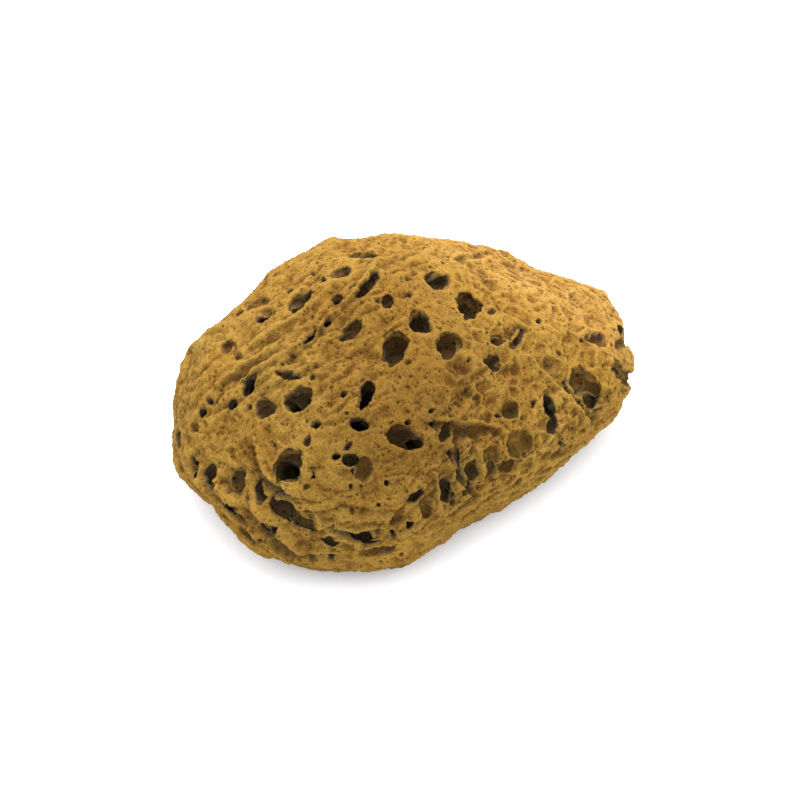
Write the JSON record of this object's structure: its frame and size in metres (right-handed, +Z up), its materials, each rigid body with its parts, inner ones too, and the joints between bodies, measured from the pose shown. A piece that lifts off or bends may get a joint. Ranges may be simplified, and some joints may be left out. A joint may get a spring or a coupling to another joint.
{
  "type": "natural sea sponge",
  "caption": "Natural sea sponge: a lopsided ochre dome full of round pores and grooves, with a broad end, a ragged tapering tip and a flat cut base to rest on.",
  "frame": {"origin": "middle of the bounding box on the table, under the sponge", "axes": "+X along the sponge from its broad end to its ragged tip, +Z up from the flat cut base"},
  "size_m": [0.1596, 0.1244, 0.0716],
  "materials": {
    "spongin": "matte, dry, felted fibre with fine open pores"
  },
  "bodies": {
    "root": {"sponge": "spongin"}
  },
  "joints": []
}
